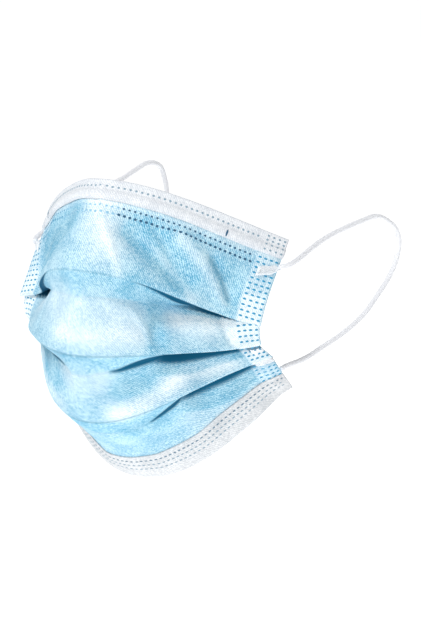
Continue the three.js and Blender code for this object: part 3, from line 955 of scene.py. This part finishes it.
# Weld dots, placed by Geometry Nodes on points that carry the cloth's directions
def dot_tree():
    tree = bpy.data.node_groups.new("weld_dots", "GeometryNodeTree")
    face = tree.interface
    face.new_socket("Geometry", in_out="INPUT", socket_type="NodeSocketGeometry")
    for name in ("Length", "Width", "Thickness"):
        face.new_socket(name, in_out="INPUT", socket_type="NodeSocketFloat")
    face.new_socket("Finish", in_out="INPUT", socket_type="NodeSocketMaterial")
    face.new_socket("Geometry", in_out="OUTPUT", socket_type="NodeSocketGeometry")
    source = tree.nodes.new("NodeGroupInput")
    sink = tree.nodes.new("NodeGroupOutput")
    ball = node(tree, "GeometryNodeMeshUVSphere", {"Segments": 10, "Rings": 6, "Radius": 0.5})
    size = node(
        tree, "ShaderNodeCombineXYZ",
        {"X": source.outputs["Length"], "Y": source.outputs["Width"], "Z": source.outputs["Thickness"]},
    )
    lens = node(tree, "GeometryNodeTransform", {"Geometry": ball.outputs["Mesh"], "Scale": size.outputs[0]})
    out = node(tree, "GeometryNodeInputNamedAttribute", {"Name": "out"}, data_type="FLOAT_VECTOR")
    along = node(tree, "GeometryNodeInputNamedAttribute", {"Name": "along"}, data_type="FLOAT_VECTOR")
    turn = node(
        tree, "FunctionNodeAxesToRotation",
        {0: out.outputs["Attribute"], 1: along.outputs["Attribute"]}, primary_axis="Z", secondary_axis="X",
    )
    placed = node(
        tree, "GeometryNodeInstanceOnPoints",
        {"Points": source.outputs["Geometry"], "Instance": lens.outputs["Geometry"],
         "Rotation": turn.outputs[0]},
    )
    real = node(tree, "GeometryNodeRealizeInstances", {"Geometry": placed.outputs["Instances"]})
    smooth = node(tree, "GeometryNodeSetShadeSmooth", {"Geometry": real.outputs["Geometry"]})
    finished = node(
        tree, "GeometryNodeSetMaterial",
        {"Geometry": smooth.outputs["Geometry"], "Material": source.outputs["Finish"]},
    )
    tree.links.new(finished.outputs["Geometry"], sink.inputs["Geometry"])
    return tree


DOT_TREE = dot_tree()


def make_dots(name, points, out, along, size, finish):
    """One piece of weld dots: size is (length, width, thickness) in millimetres."""
    mesh = bpy.data.meshes.new(name + "_points")
    mesh.from_pydata([tuple(p * MM) for p in points], [], [])
    for field, values in (("out", out), ("along", along)):
        attribute = mesh.attributes.new(field, "FLOAT_VECTOR", "POINT")
        attribute.data.foreach_set("vector", np.asarray(values, np.float32).ravel())
    holder = bpy.data.objects.new(name + "_points", mesh)
    bpy.context.scene.collection.objects.link(holder)
    modifier = holder.modifiers.new("dots", "NODES")
    modifier.node_group = DOT_TREE
    values = {"Length": size[0] * MM, "Width": size[1] * MM, "Thickness": size[2] * MM, "Finish": finish}
    for item in DOT_TREE.interface.items_tree:
        if item.in_out == "INPUT" and item.name in values:
            modifier[item.identifier] = values[item.name]
    depsgraph = bpy.context.evaluated_depsgraph_get()
    made = bpy.data.meshes.new_from_object(holder.evaluated_get(depsgraph))
    bpy.data.objects.remove(holder)
    piece = bpy.data.objects.new(name, made)
    bpy.context.scene.collection.objects.link(piece)
    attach(piece, "root")


def pick(points, normals, s_list, columns, rows_at, row_values):
    """Points, normals and directions of a grid at (s, row) pairs."""
    found, outs, alongs = [], [], []
    across = unit(np.gradient(points, axis=0))
    for s, value in zip(s_list, row_values):
        i = np.clip(np.searchsorted(columns, s) - 1, 0, len(columns) - 2)
        f = (s - columns[i]) / (columns[i + 1] - columns[i])
        j = np.clip(np.searchsorted(rows_at, value) - 1, 0, len(rows_at) - 2)
        g = (value - rows_at[j]) / (rows_at[j + 1] - rows_at[j])

        def at(grid):
            top = grid[i, j] * (1 - f) + grid[i + 1, j] * f
            low = grid[i, j + 1] * (1 - f) + grid[i + 1, j + 1] * f
            return top * (1 - g) + low * g

        found.append(at(points))
        outs.append(unit(at(normals)))
        alongs.append(unit(at(across)))
    return np.array(found), np.array(outs), np.array(alongs)


def row_stations(shift, limit):
    count = int(limit / DOT_PITCH) + 1
    s = np.arange(-count, count + 1) * DOT_PITCH + shift
    return s[np.abs(s) <= limit]


def dot_row(name, grid, s, place, size, finish, upright=False):
    """Weld dots on a surface, given as (points, normals, rows, half the wall)."""
    points, normals, rows, lift = grid
    at, out, along = pick(points, normals, s, S_GRID, rows, place)
    if upright:
        along = np.cross(out, along)
    make_dots(name, at + out * lift, out, along, size, finish)


def strip_rows():
    """The v of each row of dots down the side strips, panel by panel."""
    rows = [np.arange(11.0, UPPER_PANEL - 0.8, DOT_PITCH)]
    for k in (1, 2):
        rows.append(panel_v(k) + np.arange(1.4, MIDDLE_PANEL - 0.6, DOT_PITCH))
    rows.append(panel_v(3) + np.arange(1.4, CHIN_PANEL - CHIN_BAND - 0.6, DOT_PITCH))
    return np.concatenate(rows)


# The two rows of dots under the top band: how far down the cloth, how far along a row is shifted,
# how far out it may reach, and the size of a dot. Each is cut in three, with one dot colour in three
# shades: lightest in the middle, darker on the right, darkest on the left, a painted light and shade.
CLOTH_ROWS = table(
    ["name", "v", "shift", "limit", "dot"],
    [
        ["welds_upper_", 11.3, 0.0, 74, (1.15, 0.95, 0.3)],
        ["welds_lower_", 14.3, DOT_PITCH / 2, 75, (1.45, 1.15, 0.3)],
    ],
)
ROW_COLOURS = table(
    ["name", "low", "high", "finish"],
    [["left", 11, 74.5, WELD_NAVY], ["middle", -30, 11, WELD_SOFT], ["right", -74.5, -30, WELD_MID]],
)
STRIP_DOT = (1.75, 0.9, 0.3)
BAND_DOT = (1.15, 1.0, 0.3)
BAND_ROW = 2.6
CORNER_DOT = (1.3, 0.95, 0.3)
CORNER_ROWS = (0.9, 2.8, 4.9, 7.2)
WIRE_ENDS = [-58.2, 58.2]
WIRE_MARK = (3.2, 1.0, 0.35)
WIRE_MARK_ROW = 6.9
CHIN_DASH = (1.5, 0.65, 0.25)
CHIN_ROWS = (9.2, 7.0, 4.8)
CHIN_SHIFT = 0.6


def make_welds(panel, top, chin):
    points, normals, v = panel
    cloth_top = (points, normals, v, CLOTH_WALL / 2)
    for part in ROW_COLOURS:
        for row in CLOTH_ROWS:
            s = [s for s in row_stations(row["shift"], row["limit"]) if part["low"] < s <= part["high"]]
            name = row["name"] + part["name"]
            dot_row(name, cloth_top, s, [row["v"]] * len(s), row["dot"], part["finish"])
    rows = strip_rows()
    for side, name in ((1, "left"), (-1, "right")):
        s = [side * column for column in STRIP_COLUMNS for _ in rows]
        down = list(rows) * len(STRIP_COLUMNS)
        dot_row("welds_strip_" + name, cloth_top, s, down, STRIP_DOT, WELD_BLUE)
    band, band_out, path = top
    run = np.arange(len(path), dtype=float)
    band_top = (band, band_out, run, BAND_WALL / 2)

    def band_row(wanted):
        w = np.array([p[0] for p in path])
        front = np.array([p[1] > 0 for p in path])
        return float(np.interp(wanted, w[front], run[front]))

    s = row_stations(0.0, 74)
    down = [band_row(BAND_ROW)] * len(s)
    dot_row("welds_top_band", band_top, s, down, BAND_DOT, WELD_GREY)
    corner = [(side * c, w) for side in (1, -1) for c in STRIP_COLUMNS for w in CORNER_ROWS]
    dot_row(
        "welds_top_corners", band_top, [c[0] for c in corner], [band_row(c[1]) for c in corner],
        CORNER_DOT, WELD_GREY,
    )
    down = [band_row(WIRE_MARK_ROW)] * len(WIRE_ENDS)
    dot_row("wire_end_marks", band_top, WIRE_ENDS, down, WIRE_MARK, WELD_NAVY, True)
    band, band_out, path = chin
    run = np.arange(len(path), dtype=float)
    band_top = (band, band_out, run, BAND_WALL / 2)
    for number, drop in enumerate(CHIN_ROWS):
        at = band_row(CHIN_PANEL - drop)
        s = row_stations(CHIN_SHIFT * number, 85)
        dot_row(
            "welds_chin_%d" % (number + 1), band_top, s, [at] * len(s), CHIN_DASH,
            WELD_DARK if number == 0 else WELD_GREY,
        )


# The flattened ends of the loops, welded to the corners: s, v at the inner end, and the rise
CORD_WELDS = table(
    ["level", "s", "v", "rise", "length", "width"],
    [["upper", 78.2, 17.6, 3.8, 9.6, 4.6], ["lower", 78.2, 141.5, -0.5, 9.2, 4.6]],
)


def make_cord_welds(panel):
    points, normals, v = panel
    along = np.linspace(0, 1, 61)
    across = np.linspace(-1, 1, 25)
    for weld in CORD_WELDS:
        for side, name in ((1, "left"), (-1, "right")):
            a, c = [g.ravel() for g in np.meshgrid(along, across, indexing="ij")]
            taper = 1 - 0.5 * smoothstep(a, 0.7, 1.0)
            s = side * np.minimum(weld["s"] + weld["length"] * a, 87.4)
            at_v = weld["v"] - weld["rise"] * a + c * weld["width"] / 2 * taper
            at, out, _ = pick(points, normals, s, S_GRID, v, at_v)
            low = CLOTH_WALL / 2 + 0.1
            hatch = 0.2 * np.sin((a * 9 + c * 2.5) * 5.2) + 0.1 * np.sin((a * 9 - c * 3) * 6.5)
            swell = (1 - a**2 * 0.2) * (1 - np.abs(c) ** 4) * smoothstep(a, 0, 0.06)
            high = low + 0.12 + (0.75 + hatch + 0.5 * smoothstep(a, 0.75, 1)) * swell
            shape = (len(along), len(across), 3)
            front = (at + out * high[:, None]).reshape(shape)
            back = (at + out * low).reshape(shape)
            if side < 0:
                front, back = front[::-1], back[::-1]
            uv = np.stack([a, c], axis=1).reshape(shape[:2] + (2,)) * 0.05
            piece = shell_mesh("cord_end_%s_%s" % (weld["level"], name), front, back, uv, [CORD_END])
            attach(piece, "root")
            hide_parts("loop_weld_%s_%s" % (weld["level"], name))


def make_wire():
    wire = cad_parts["nose_wire"]
    wire.data.materials.clear()
    wire.data.materials.append(WIRE_FINISH)


# Stage and light
FLOOR_DROP = 0.16
FLOOR_HALF = 6.0
FLOOR_GLOW = 0.62
SKY_LIGHT = 0.42
LIGHT_TARGET = (0, 0.03, -0.07)
LIGHTS = table(
    ["name", "place", "size", "power"],
    [
        ["key", (-0.3, -0.6, 0.95), 0.3, 8.6],
        ["back", (0.1, 1.0, 0.7), 0.8, 3],
        ["fill", (0.7, -0.9, 0.1), 0.9, 3.8],
    ],
)


def make_stage():
    low = CAD_BOX[0].z - FLOOR_DROP
    half = FLOOR_HALF
    corners = [(-half, -half, low), (half, -half, low), (half, half, low), (-half, half, low)]
    mesh = bpy.data.meshes.new("floor")
    mesh.from_pydata(corners, [], [(0, 1, 2, 3)])
    floor = bpy.data.objects.new("floor", mesh)
    material, tree, shader = new_material("floor_white")
    shader.inputs["Base Color"].default_value = (0.95, 0.95, 0.95, 1)
    shader.inputs["Roughness"].default_value = 1
    shader.inputs["Emission Color"].default_value = (1, 1, 1, 1)
    shader.inputs["Emission Strength"].default_value = FLOOR_GLOW
    mesh.materials.append(material)
    bpy.context.scene.collection.objects.link(floor)


def area_light(name, place, size, power):
    data = bpy.data.lights.new(name, "AREA")
    data.shape = "DISK"
    data.size = size
    data.energy = power
    light = bpy.data.objects.new(name, data)
    light.location = place
    light.rotation_mode = "QUATERNION"
    light.rotation_quaternion = (Vector(LIGHT_TARGET) - Vector(place)).to_track_quat("-Z", "Y")
    bpy.context.scene.collection.objects.link(light)


def make_lights():
    for row in LIGHTS:
        area_light(row["name"], row["place"], row["size"], row["power"])
    world = bpy.data.worlds.new("studio")
    world.use_nodes = True
    tree = world.node_tree
    seen = node(tree, "ShaderNodeLightPath").outputs["Is Camera Ray"]
    strength = node(tree, "ShaderNodeMapRange", {"Value": seen, "To Min": SKY_LIGHT, "To Max": 1.0})
    tree.nodes["Background"].inputs["Color"].default_value = (1, 1, 1, 1)
    tree.links.new(strength.outputs[0], tree.nodes["Background"].inputs["Strength"])
    bpy.context.scene.world = world
    bpy.context.scene.view_settings.view_transform = "Standard"


make_camera()
make_ear_loop("left", LEFT_LOOP)
make_ear_loop("right", RIGHT_LOOP)
panel = make_panel()
top = make_top_band()
chin = make_chin_band()
make_welds(panel, top, chin)
make_cord_welds(panel)
make_wire()
make_stage()
make_lights()
